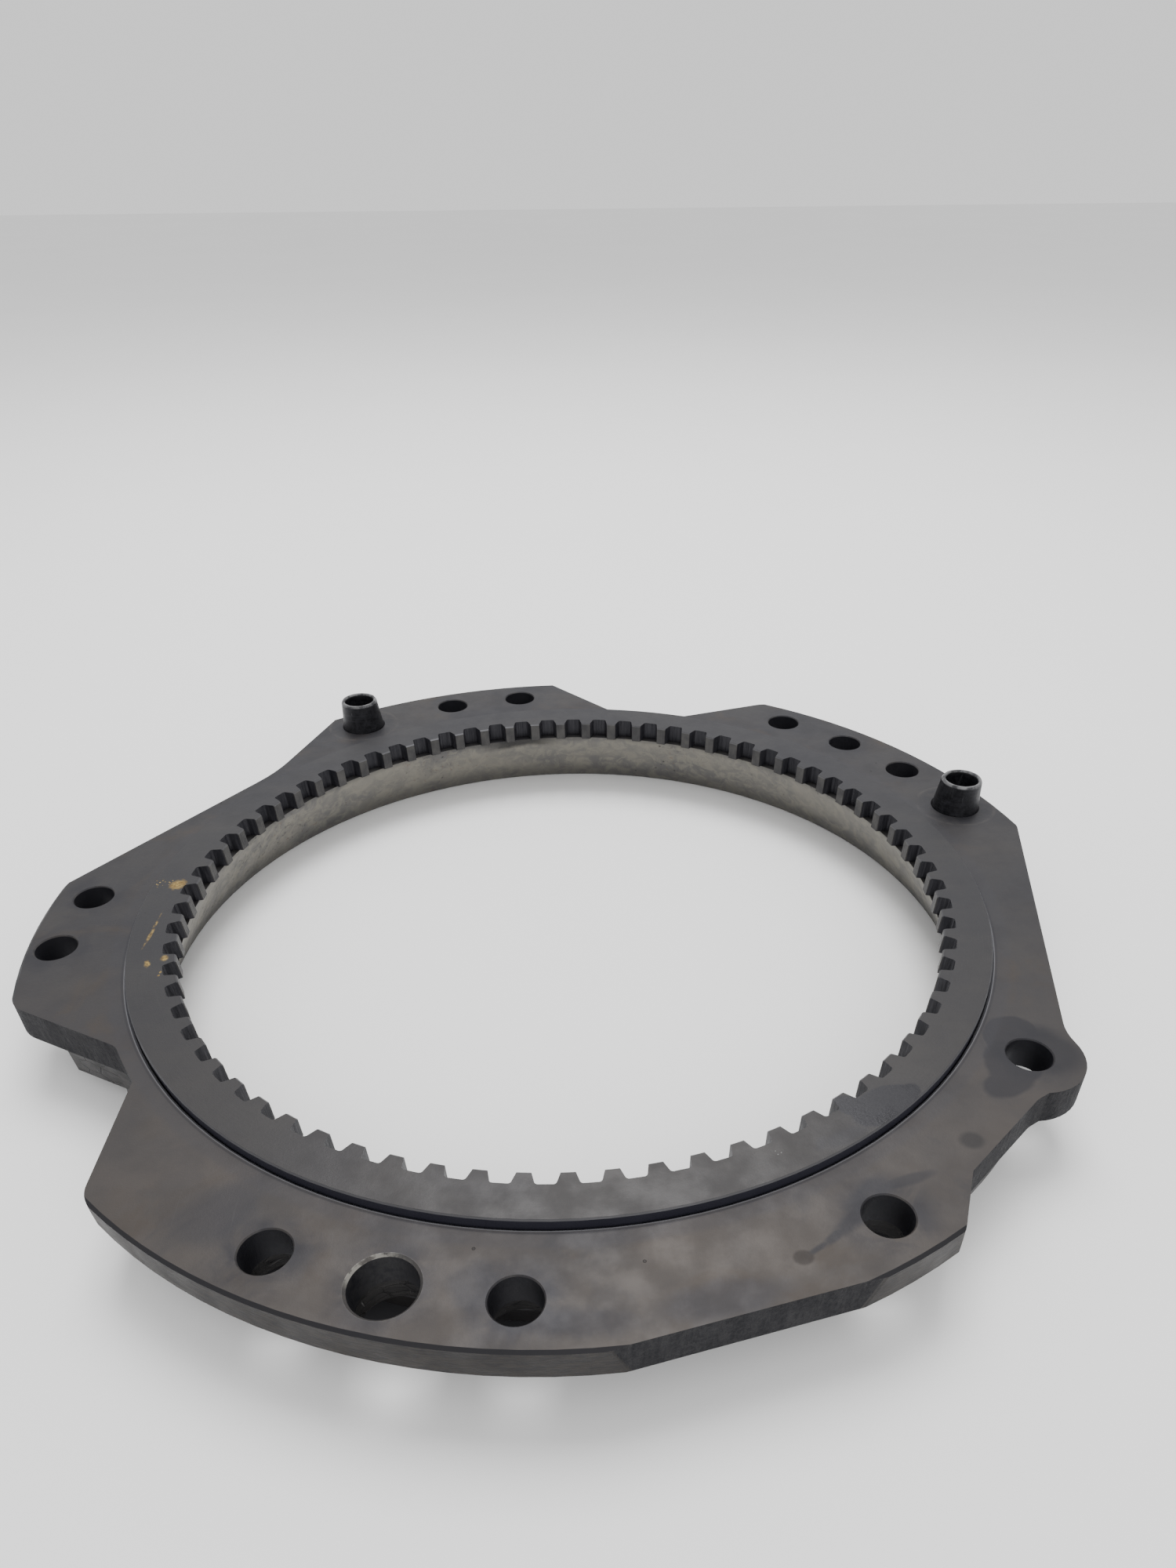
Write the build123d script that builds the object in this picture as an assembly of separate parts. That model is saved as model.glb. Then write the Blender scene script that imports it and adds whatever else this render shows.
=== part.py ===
"""Slewing ring bearing with an internally toothed inner ring and an irregular mount plate.

Units are millimetres.  The rotation axis is Z and the inner ring stands on Z = 0.
The mount plate and the lower race ring form a split outer ring, clamped over a shim pack.
The toothed inner ring turns inside them on one row of balls held by six cage strips.
"""
from build123d import *
from math import cos, radians, sin
import os

# ---------------------------------------------------------------- driving dimensions
RING_RADIUS = 200.0            # outside of the toothed ring, seen above the plate
RING_HEIGHT = 42.0             # toothed ring, underside to top face
RING_STEP = 4.0                # how far the ring stands above the plate

TOOTH_COUNT = 72
TOOTH_TIP_RADIUS = 178.5
TOOTH_ROOT_RADIUS = 184.2
TOOTH_FACE_WIDTH = 9.5
SPACE_HALF_WIDTH_TIP = 5.25    # half width of a tooth space at the tip circle
SPACE_HALF_WIDTH_ROOT = 3.7    # and at the root circle
TOOTH_ROOT_FILLET = 1.4
FIRST_SPACE_ANGLE = 1.4        # direction of the first tooth space, degrees
BAND_TOP_RADIUS = 180.5        # smooth band under the teeth, which flares downwards
BAND_FOOT_RADIUS = 198.0

PLATE_RADIUS = 247.4           # turned outside of the mount plate
PLATE_EDGE = 1.4               # chamfer on the turned outside, inwards and downwards
PLATE_EDGE_DROP = 0.8
CUT_WALL_DRAFT = 4.5           # flame-cut walls lean outwards towards the bottom, degrees
PLATE_TOP = RING_HEIGHT - RING_STEP
PLATE_BOTTOM = 23.25
NECK_RADIUS = 208.8            # where the plate is cut right in to the ring
BORE_LIP_RADIUS = 200.6        # top lip of the plate's bore, close round the ring

BOLT_RADIUS = 228.5            # pitch radius of the mounting holes
BOLT_HOLE = 18.5
BOLT_PITCH_ANGLE = 11.0
BIG_HOLE = 24.0
BIG_HOLE_CHAMFER = 1.0
EAR_RADIUS = 21.8
EAR_PLACE = (223.2, 325.2)     # radius and direction of the ear's hole
LEFT_HOLE_PLACES = [(228.5, 176.4), (234.0, 186.4)]
RIGHT_SLEEVE_PLACE = (227.0, 17.9)
LEFT_SLEEVE_PLACE = (228.5, 121.3)

BALL_RADIUS = 5.0
BALL_CIRCLE = 200.5
BALL_COUNT = 90
BALL_HEIGHT = 23.0             # height of the ball row, which is the split plane
RACE_CLEARANCE = 0.3
RACE_BORE = 201.7              # outer race shoulder
RACE_HUB = 199.3               # inner race shoulder

LOWER_RING_RADIUS = 231.0
LOWER_RING_BOTTOM = 10.0
SCALLOP_RADIUS = 14.0          # lower ring cut away to clear the nuts under the plate
RELIEF_RADIUS = 209.0          # lower ring where it is cut back to clear the ear
RELIEF_FROM, RELIEF_TO = 317.5, 360.5
SHIM_THICKNESS = 0.5
SHIM_BORE = 206.5

CLAMP_CIRCLE = 222.5
RIGHT_CLAMP_ANGLES = [4.0] + [24.0 + BOLT_PITCH_ANGLE * i for i in range(4)]
BACK_CLAMP_ANGLES = [90.0, 101.0, 115.0, 127.0]
LEFT_CLAMP_ANGLES = [170.5, 192.0]
FRONT_CLAMP_ANGLES = [226.0] + [237.0 + BOLT_PITCH_ANGLE * i for i in range(7)] + [312.5]
SCREW_RADIUS = 3.0
SCREW_HEAD_RADIUS = 5.0
SCREW_HEAD_HEIGHT = 6.0
SCREW_LENGTH = 14.0
WASHER_THICKNESS = 1.2
COUNTERBORE_DEPTH = 7.6
CLAMP_DEPTH = 8.5              # screw holes in the plate
PIN_ANGLES = [11.5, 275.5]
PIN_DEPTH = 6.0

FLANGE_RADIUS = 214.0          # foot flange of the inner ring
FLANGE_THICKNESS = 9.0
FLANGE_HOLE_CIRCLE = 207.0
FLANGE_HOLE_COUNT = 24
FLANGE_HOLE = 6.8              # core hole of an M8 thread

CAGE_SEGMENTS = 6
CAGE_THICKNESS = 1.2
CAGE_HEIGHT = 14.0
POCKET_CLEARANCE = 0.3

SLEEVE_BASE_RADIUS = 12.2
SLEEVE_TOP_RADIUS = 10.6
SLEEVE_BORE_RADIUS = 8.5
SLEEVE_TOP = 53.5
SLEEVE_SEAT = 26.0             # bottom of the sleeve, inside the plate

NIPPLE_ANGLES = [8.0, 111.5, 181.4, 231.5]
NIPPLE_HEIGHT = 16.0
NIPPLE_SEAT = 227.0            # spot face the nipples screw in to


def polar(radius, degrees):
    """Point in the XY plane at a radius and a direction."""
    return Vector(radius * cos(radians(degrees)), radius * sin(radians(degrees)), 0)


def arc(radius, start, end):
    """Arc about the rotation axis between two directions."""
    middle = (start + end) / 2
    return ThreePointArc(polar(radius, start), polar(radius, middle), polar(radius, end))


def ring(inner, outer, bottom, top):
    """Plain ring about the rotation axis."""
    height = top - bottom
    solid = Cylinder(outer, height, align=(Align.CENTER, Align.CENTER, Align.MIN))
    solid -= Cylinder(inner, height, align=(Align.CENTER, Align.CENTER, Align.MIN))
    return Pos(0, 0, bottom) * solid


def at(place, height=0.0):
    """Location at a (radius, direction) place and a height."""
    return Pos(polar(*place)) * Pos(0, 0, height)


def drill(radius, bottom, top, places):
    """Upright cylinders at (radius, direction) places, for cutting or joining."""
    bit = Cylinder(radius, top - bottom, align=(Align.CENTER, Align.CENTER, Align.MIN))
    return [at(place, bottom) * bit for place in places]


def countersinks(radius, size, top, places):
    """Small cones that chamfer the top rim of round holes."""
    cone = Cone(radius, radius + size, size, align=(Align.CENTER, Align.CENTER, Align.MAX))
    return [at(place, top) * cone for place in places]


def revolved(points):
    """Solid of revolution about Z from (radius, height) corners."""
    outline = Polyline(*[(r, 0, z) for r, z in points], close=True)
    return revolve(make_face(outline), Axis.Z)


def round_corner(face, point, radius):
    """Round the corner of a face that lies nearest to a point."""
    corner = face.vertices().sort_by_distance(point)[0]
    return fillet(corner, radius)


# ---------------------------------------------------------------- plate outline
EAR_CENTRE = polar(*EAR_PLACE)


def ear_point(degrees):
    return EAR_CENTRE + polar(EAR_RADIUS, degrees)


def plate_outline():
    """Turned disc cut by flame-cut flats, two necks, a waist and an ear."""
    waist = Vector(-162.4, 136.4, 0)
    notch = Vector(140.8, -185.2, 0)
    ear_foot = Vector(177.0, -152.4, 0)
    right_corner = polar(PLATE_RADIUS, 11.3)
    ear_start = ear_point(268.6)
    ear_end = ear_point(28.6)
    edges = [
        arc(PLATE_RADIUS, 11.3, 56.7),
        Line(polar(PLATE_RADIUS, 56.7), polar(NECK_RADIUS, 67.0)),
        arc(NECK_RADIUS, 67.0, 80.6),
        Line(polar(NECK_RADIUS, 80.6), polar(PLATE_RADIUS, 90.3)),
        arc(PLATE_RADIUS, 90.3, 123.6),
        Line(polar(PLATE_RADIUS, 123.6), waist),
        Line(waist, polar(PLATE_RADIUS, 174.0)),
        arc(PLATE_RADIUS, 174.0, 195.7),
        Line(polar(PLATE_RADIUS, 195.7), polar(NECK_RADIUS, 207.4)),
        arc(NECK_RADIUS, 207.4, 214.2),
        Line(polar(NECK_RADIUS, 214.2), polar(PLATE_RADIUS, 225.2)),
        arc(PLATE_RADIUS, 225.2, 271.3),
        Line(polar(PLATE_RADIUS, 271.3), polar(PLATE_RADIUS, 293.7)),
        arc(PLATE_RADIUS, 293.7, 301.7),
        Line(polar(PLATE_RADIUS, 301.7), notch),
        Line(notch, ear_foot),
        Line(ear_foot, ear_start),
        ThreePointArc(ear_start, ear_point(328.6), ear_end),
        Line(ear_end, right_corner),
    ]
    face = make_face(Wire(edges))
    roundings = [
        (polar(PLATE_RADIUS, 56.7), 14.0),
        (waist, 90.0),
        (polar(PLATE_RADIUS, 174.0), 10.0),
        (polar(PLATE_RADIUS, 195.7), 18.0),
        (polar(NECK_RADIUS, 207.4), 9.0),
        (polar(PLATE_RADIUS, 225.2), 14.0),
        (polar(PLATE_RADIUS, 301.7), 4.0),
        (notch, 3.0),
        (ear_foot, 14.0),
        (ear_end, 24.0),
    ]
    for point, radius in roundings:
        face = round_corner(face, point, radius)
    return face


OUTLINE = plate_outline()

# ---------------------------------------------------------------- hole places
back_holes = [(BOLT_RADIUS, 29.5 + BOLT_PITCH_ANGLE * i) for i in range(3)]
top_holes = [(BOLT_RADIUS, 95.5 + BOLT_PITCH_ANGLE * i) for i in range(2)]
front_holes = [(BOLT_RADIUS, 242.5), (BOLT_RADIUS, 264.5), (BOLT_RADIUS, 297.5)]
bolt_holes = back_holes + top_holes + LEFT_HOLE_PLACES + front_holes + [EAR_PLACE]
big_hole = (BOLT_RADIUS, 253.5)
clamp_angles = RIGHT_CLAMP_ANGLES + BACK_CLAMP_ANGLES + LEFT_CLAMP_ANGLES + FRONT_CLAMP_ANGLES
clamp_places = [(CLAMP_CIRCLE, a) for a in clamp_angles]
pin_places = [(CLAMP_CIRCLE, a) for a in PIN_ANGLES]
sleeve_places = [RIGHT_SLEEVE_PLACE, LEFT_SLEEVE_PLACE]
scallop_places = [place for place in bolt_holes if place != EAR_PLACE] + [big_hole] + sleeve_places

RACE = Torus(BALL_CIRCLE, BALL_RADIUS + RACE_CLEARANCE)
RACE = Pos(0, 0, BALL_HEIGHT) * RACE


# ---------------------------------------------------------------- outer ring
def mount_plate():
    """Upper half of the outer ring, with the bolting lobes and the ear."""
    thickness = PLATE_TOP - PLATE_BOTTOM
    plate = extrude(Pos(0, 0, PLATE_TOP) * OUTLINE, thickness, dir=(0, 0, -1), taper=-CUT_WALL_DRAFT)
    outside = PLATE_RADIUS + 15
    turned_edge = revolved([
        (PLATE_RADIUS - PLATE_EDGE, PLATE_TOP), (PLATE_RADIUS, PLATE_TOP - PLATE_EDGE_DROP),
        (PLATE_RADIUS, PLATE_BOTTOM - 1), (outside, PLATE_BOTTOM - 1),
        (outside, PLATE_TOP + 1), (PLATE_RADIUS - PLATE_EDGE, PLATE_TOP + 1),
    ])
    bore = revolved([
        (0, PLATE_BOTTOM - 1), (RACE_BORE, PLATE_BOTTOM - 1), (RACE_BORE, 32.5),
        (204.5, 32.5), (204.5, 35.5), (BORE_LIP_RADIUS, 35.5),
        (BORE_LIP_RADIUS, PLATE_TOP - 0.8), (BORE_LIP_RADIUS + 0.8, PLATE_TOP),
        (BORE_LIP_RADIUS + 0.8, PLATE_TOP + 1), (0, PLATE_TOP + 1),
    ])
    plate -= bore
    plate -= RACE
    plate -= turned_edge
    plate -= drill(BOLT_HOLE / 2, PLATE_BOTTOM - 1, PLATE_TOP + 1, bolt_holes)
    plate -= countersinks(BOLT_HOLE / 2, 0.5, PLATE_TOP, bolt_holes)
    plate -= drill(BIG_HOLE / 2, PLATE_BOTTOM - 1, PLATE_TOP + 1, [big_hole])
    plate -= countersinks(BIG_HOLE / 2, BIG_HOLE_CHAMFER, PLATE_TOP, [big_hole])
    plate -= drill(SLEEVE_BASE_RADIUS, SLEEVE_SEAT, PLATE_TOP + 1, sleeve_places)
    plate -= countersinks(SLEEVE_BASE_RADIUS, 0.7, PLATE_TOP, sleeve_places)
    plate -= drill(SLEEVE_BORE_RADIUS, PLATE_BOTTOM - 1, SLEEVE_SEAT + 1, sleeve_places)
    plate -= drill(SCREW_RADIUS, PLATE_BOTTOM - 1, PLATE_BOTTOM + CLAMP_DEPTH, clamp_places)
    plate -= drill(SCREW_RADIUS, PLATE_BOTTOM - 1, PLATE_BOTTOM + PIN_DEPTH, pin_places)
    return plate


def lower_outline():
    """Plate outline cut back to a plain ring, with a scallop under each through hole."""
    relief_edges = [
        arc(PLATE_RADIUS + 5, RELIEF_FROM, RELIEF_TO),
        Line(polar(PLATE_RADIUS + 5, RELIEF_TO), polar(RELIEF_RADIUS, RELIEF_TO)),
        arc(RELIEF_RADIUS, RELIEF_FROM, RELIEF_TO),
        Line(polar(RELIEF_RADIUS, RELIEF_FROM), polar(PLATE_RADIUS + 5, RELIEF_FROM)),
    ]
    face = Circle(LOWER_RING_RADIUS) & OUTLINE
    face -= make_face(Wire(relief_edges))
    face -= [at(place) * Circle(SCALLOP_RADIUS) for place in scallop_places]
    return face


def lower_race_ring():
    """Lower half of the outer ring, with its grease passages."""
    top = PLATE_BOTTOM - SHIM_THICKNESS
    seat = LOWER_RING_BOTTOM + COUNTERBORE_DEPTH
    blank = Pos(0, 0, LOWER_RING_BOTTOM) * extrude(lower_outline(), top - LOWER_RING_BOTTOM)
    blank -= revolved([
        (0, LOWER_RING_BOTTOM - 1), (201.0, LOWER_RING_BOTTOM - 1), (201.0, 10.8),
        (204.5, 10.8), (204.5, 13.5), (RACE_BORE, 13.5),
        (RACE_BORE, top + 1), (0, top + 1),
    ])
    blank -= RACE
    blank -= drill(SCREW_RADIUS + 0.3, LOWER_RING_BOTTOM - 1, top + 1, clamp_places)
    blank -= drill(SCREW_HEAD_RADIUS + 0.5, LOWER_RING_BOTTOM - 1, seat, clamp_places)
    blank -= drill(SCREW_RADIUS, LOWER_RING_BOTTOM + 3, top + 1, pin_places)
    along = (Align.CENTER, Align.CENTER, Align.MIN)
    passage = Rot(0, 90, 0) * Cylinder(1.5, 30, align=along)
    socket = Rot(0, 90, 0) * Cylinder(3.0, 8, align=along)
    spot_face = Rot(0, 90, 0) * Cylinder(4.6, 8, align=along)
    for angle in NIPPLE_ANGLES:
        blank -= Rot(0, 0, angle) * (Pos(200, 0, NIPPLE_HEIGHT) * passage)
        blank -= Rot(0, 0, angle) * (Pos(NIPPLE_SEAT - 4.8, 0, NIPPLE_HEIGHT) * socket)
        blank -= Rot(0, 0, angle) * (Pos(NIPPLE_SEAT, 0, NIPPLE_HEIGHT) * spot_face)
    return blank


def shim_pack():
    """Shims between the two halves, which set the bearing's preload."""
    bottom = PLATE_BOTTOM - SHIM_THICKNESS
    shim = Pos(0, 0, bottom) * extrude(lower_outline() - Circle(SHIM_BORE), SHIM_THICKNESS)
    shim -= drill(SCREW_RADIUS + 0.3, bottom - 1, PLATE_BOTTOM + 1, clamp_places)
    shim -= drill(SCREW_RADIUS + 0.1, bottom - 1, PLATE_BOTTOM + 1, pin_places)
    return shim


# ---------------------------------------------------------------- inner ring
def tooth_space():
    """Outline of one tooth space, open towards the axis."""
    slope = (SPACE_HALF_WIDTH_TIP - SPACE_HALF_WIDTH_ROOT) / (TOOTH_ROOT_RADIUS - TOOTH_TIP_RADIUS)
    mouth = TOOTH_TIP_RADIUS - 3
    mouth_half = SPACE_HALF_WIDTH_TIP + 3 * slope
    root_half = SPACE_HALF_WIDTH_ROOT
    corners = [(mouth, -mouth_half), (TOOTH_ROOT_RADIUS, -root_half),
               (TOOTH_ROOT_RADIUS, root_half), (mouth, mouth_half)]
    face = make_face(Polyline(*corners, close=True))
    for side in (-1, 1):
        face = round_corner(face, Vector(TOOTH_ROOT_RADIUS, side * root_half, 0), TOOTH_ROOT_FILLET)
    return face


def inner_ring_gear():
    """Toothed ring with its ball race, flared lower band and bolting flange."""
    band_top = RING_HEIGHT - TOOTH_FACE_WIDTH
    body = revolved([
        (BAND_FOOT_RADIUS, 0), (FLANGE_RADIUS - 0.8, 0), (FLANGE_RADIUS, 0.8),
        (FLANGE_RADIUS, FLANGE_THICKNESS - 0.8), (FLANGE_RADIUS - 0.8, FLANGE_THICKNESS),
        (RACE_HUB, FLANGE_THICKNESS), (RACE_HUB, 30.5), (RING_RADIUS, 31.2),
        (RING_RADIUS, RING_HEIGHT - 0.6), (RING_RADIUS - 0.6, RING_HEIGHT),
        (TOOTH_TIP_RADIUS + 0.6, RING_HEIGHT), (TOOTH_TIP_RADIUS, RING_HEIGHT - 0.6),
        (TOOTH_TIP_RADIUS, band_top), (BAND_TOP_RADIUS, band_top),
    ])
    body -= RACE
    cutter = Pos(0, 0, band_top) * extrude(tooth_space(), TOOTH_FACE_WIDTH + 1)
    pitch_angle = 360 / TOOTH_COUNT
    body -= [Rot(0, 0, FIRST_SPACE_ANGLE + pitch_angle * i) * cutter for i in range(TOOTH_COUNT)]
    hole_angle = 360 / FLANGE_HOLE_COUNT
    places = [(FLANGE_HOLE_CIRCLE, hole_angle * i) for i in range(FLANGE_HOLE_COUNT)]
    body -= drill(FLANGE_HOLE / 2, -1, FLANGE_THICKNESS - 1, places)
    return body


# ---------------------------------------------------------------- rolling set
def load_balls():
    """The ball row, as separate spheres."""
    pitch_angle = 360 / BALL_COUNT
    ball = Sphere(BALL_RADIUS)
    places = [(BALL_CIRCLE, pitch_angle * (i + 0.5)) for i in range(BALL_COUNT)]
    return Compound(children=[at(place, BALL_HEIGHT) * ball for place in places])


def cage_segment(index):
    """One curved cage strip with a pocket for each of its balls."""
    span = 360 / CAGE_SEGMENTS
    gap = 0.6
    start = span * index + gap
    end = span * (index + 1) - gap
    inner = BALL_CIRCLE - CAGE_THICKNESS / 2
    outer = BALL_CIRCLE + CAGE_THICKNESS / 2
    edges = [
        arc(outer, start, end),
        Line(polar(outer, end), polar(inner, end)),
        arc(inner, start, end),
        Line(polar(inner, start), polar(outer, start)),
    ]
    strip = Pos(0, 0, BALL_HEIGHT - CAGE_HEIGHT / 2) * extrude(make_face(Wire(edges)), CAGE_HEIGHT)
    pocket = Rot(0, 90, 0) * Cylinder(BALL_RADIUS + POCKET_CLEARANCE, 12)
    pocket = Pos(BALL_CIRCLE, 0, BALL_HEIGHT) * pocket
    pitch_angle = 360 / BALL_COUNT
    balls_per_segment = BALL_COUNT // CAGE_SEGMENTS
    first = index * balls_per_segment
    return strip - [Rot(0, 0, pitch_angle * (first + i + 0.5)) * pocket for i in range(balls_per_segment)]


# ---------------------------------------------------------------- seals
def upper_seal():
    """Rubber lip seal in the plate's bore groove, with its lip against the ring."""
    return revolved([(204.5, 32.6), (204.5, 35.4), (202.2, 35.4), (200.3, 34.6),
                     (200.3, 34.2), (202.0, 34.0), (202.0, 32.6)])


def lower_seal():
    """Rubber lip seal in the lower ring, against the inner ring above its flange."""
    return revolved([(204.5, 10.9), (204.5, 13.4), (201.9, 13.4), (201.9, 12.2),
                     (199.6, 11.9), (199.6, 11.5), (202.1, 10.9)])


# ---------------------------------------------------------------- fasteners
def clamp_screw():
    """Socket head cap screw, head down, standing on its own shank's axis."""
    head_bottom = LOWER_RING_BOTTOM + COUNTERBORE_DEPTH - WASHER_THICKNESS - SCREW_HEAD_HEIGHT
    head_top = head_bottom + SCREW_HEAD_HEIGHT
    base = (Align.CENTER, Align.CENTER, Align.MIN)
    head = Pos(0, 0, head_bottom) * Cylinder(SCREW_HEAD_RADIUS, SCREW_HEAD_HEIGHT, align=base)
    shank = Pos(0, 0, head_top) * Cylinder(SCREW_RADIUS, SCREW_LENGTH, align=base)
    socket = Pos(0, 0, head_bottom) * extrude(RegularPolygon(2.9, 6), 3)
    return head + shank - socket


def group_at(solid, places):
    """Separate copies of one fastener in one node."""
    return Compound(children=[at(place) * solid for place in places])


def lock_washer():
    bottom = LOWER_RING_BOTTOM + COUNTERBORE_DEPTH - WASHER_THICKNESS
    return ring(SCREW_RADIUS + 0.1, SCREW_HEAD_RADIUS - 0.2, bottom, bottom + WASHER_THICKNESS)


def locating_pin():
    base = (Align.CENTER, Align.CENTER, Align.MIN)
    return Pos(0, 0, LOWER_RING_BOTTOM + 3.5) * Cylinder(SCREW_RADIUS, 15.0, align=base)


def dowel_sleeve(place):
    """Hollow tapered dowel that stands in the plate."""
    profile = revolved([
        (SLEEVE_BORE_RADIUS, SLEEVE_SEAT), (SLEEVE_BASE_RADIUS, SLEEVE_SEAT),
        (SLEEVE_BASE_RADIUS, PLATE_TOP), (SLEEVE_TOP_RADIUS, SLEEVE_TOP - 1.0),
        (SLEEVE_TOP_RADIUS - 0.6, SLEEVE_TOP), (SLEEVE_BORE_RADIUS + 0.4, SLEEVE_TOP),
        (SLEEVE_BORE_RADIUS, SLEEVE_TOP - 0.6),
    ])
    return at(place) * profile


def grease_nipple(angle):
    """Grease nipple screwed radially into the lower race ring."""
    stem = revolved([(0, 0), (3.0, 0), (3.0, 4.8), (0, 4.8)])
    collar = Pos(0, 0, 4.8) * extrude(RegularPolygon(4.0, 6), 3.2)
    tip = Pos(0, 0, 8.0) * revolved([(0, 0), (2.4, 0), (1.7, 1.6), (1.7, 2.6), (3.1, 4.2),
                                     (3.1, 5.0), (1.4, 6.6), (0, 6.6)])
    upright = stem + collar + tip
    lying = Pos(NIPPLE_SEAT - 4.8, 0, NIPPLE_HEIGHT) * (Rot(0, 90, 0) * upright)
    return Rot(0, 0, angle) * lying


# ---------------------------------------------------------------- writing
def all_parts():
    parts = {
        "mount_plate": mount_plate(),
        "lower_race_ring": lower_race_ring(),
        "shim_pack": shim_pack(),
        "inner_ring_gear": inner_ring_gear(),
        "load_balls": load_balls(),
        "upper_seal": upper_seal(),
        "lower_seal": lower_seal(),
        "dowel_sleeve_right": dowel_sleeve(RIGHT_SLEEVE_PLACE),
        "dowel_sleeve_left": dowel_sleeve(LEFT_SLEEVE_PLACE),
        "clamp_screws": group_at(clamp_screw(), clamp_places),
        "lock_washers": group_at(lock_washer(), clamp_places),
        "locating_pins": group_at(locating_pin(), pin_places),
    }
    for index in range(CAGE_SEGMENTS):
        parts[f"cage_segment_{index + 1}"] = cage_segment(index)
    for number, angle in enumerate(NIPPLE_ANGLES, start=1):
        parts[f"grease_nipple_{number}"] = grease_nipple(angle)
    return parts


os.makedirs("parts", exist_ok=True)
for name, shape in all_parts().items():
    export_step(shape, f"parts/{name}.step")
    print(name, len(shape.solids()), round(shape.volume))
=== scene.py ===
from math import cos, degrees, radians, sin

import bpy
from mathutils import Matrix, Vector


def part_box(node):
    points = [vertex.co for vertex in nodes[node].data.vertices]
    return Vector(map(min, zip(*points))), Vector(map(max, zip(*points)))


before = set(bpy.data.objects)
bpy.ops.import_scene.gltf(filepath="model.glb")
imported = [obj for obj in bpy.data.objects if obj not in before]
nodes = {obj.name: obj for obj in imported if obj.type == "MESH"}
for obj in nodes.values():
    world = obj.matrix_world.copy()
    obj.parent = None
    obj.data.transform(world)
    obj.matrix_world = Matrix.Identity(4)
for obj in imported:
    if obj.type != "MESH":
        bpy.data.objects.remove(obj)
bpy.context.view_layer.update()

# Heights and radii of the object that the materials refer to, in metres.
PLATE_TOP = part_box("mount_plate")[1].z
RING_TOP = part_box("inner_ring_gear")[1].z
SLEEVE_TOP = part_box("dowel_sleeve_right")[1].z
BAND_TOP = 0.0325                  # top of the smooth band under the teeth
ROOT_RADIUS = 0.1842               # bottom of the tooth spaces
PLATE_RADIUS = 0.2474              # turned outside of the plate
PLATE_EDGE_RADIUS = 0.246          # inner side of the chamfer on that outside
BOLT_RADIUS = 0.2285
STEEL_TONE = 0.29                  # how dark all the steel is under this light


def polar(radius, angle):
    return Vector((radius * cos(radians(angle)), radius * sin(radians(angle)), 0))


SMALL_HOLES = [polar(BOLT_RADIUS, a) for a in (29.5, 40.5, 51.5, 95.5, 106.5, 176.4, 242.5, 264.5, 297.5)]
SMALL_HOLES += [polar(0.234, 186.4), polar(0.2232, 325.2)]
BIG_HOLE = polar(BOLT_RADIUS, 253.5)
SLEEVES = [polar(0.227, 17.9), polar(BOLT_RADIUS, 121.3)]


def grey(level, red=0.0, blue=0.0):
    """Linear colour from an sRGB grey level of 0 to 255, warmed by red or cooled by blue."""
    channels = (level + red, level, level + blue)
    linear = [((c / 255 + 0.055) / 1.055) ** 2.4 * STEEL_TONE for c in channels]
    return (*linear, 1.0)


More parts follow.
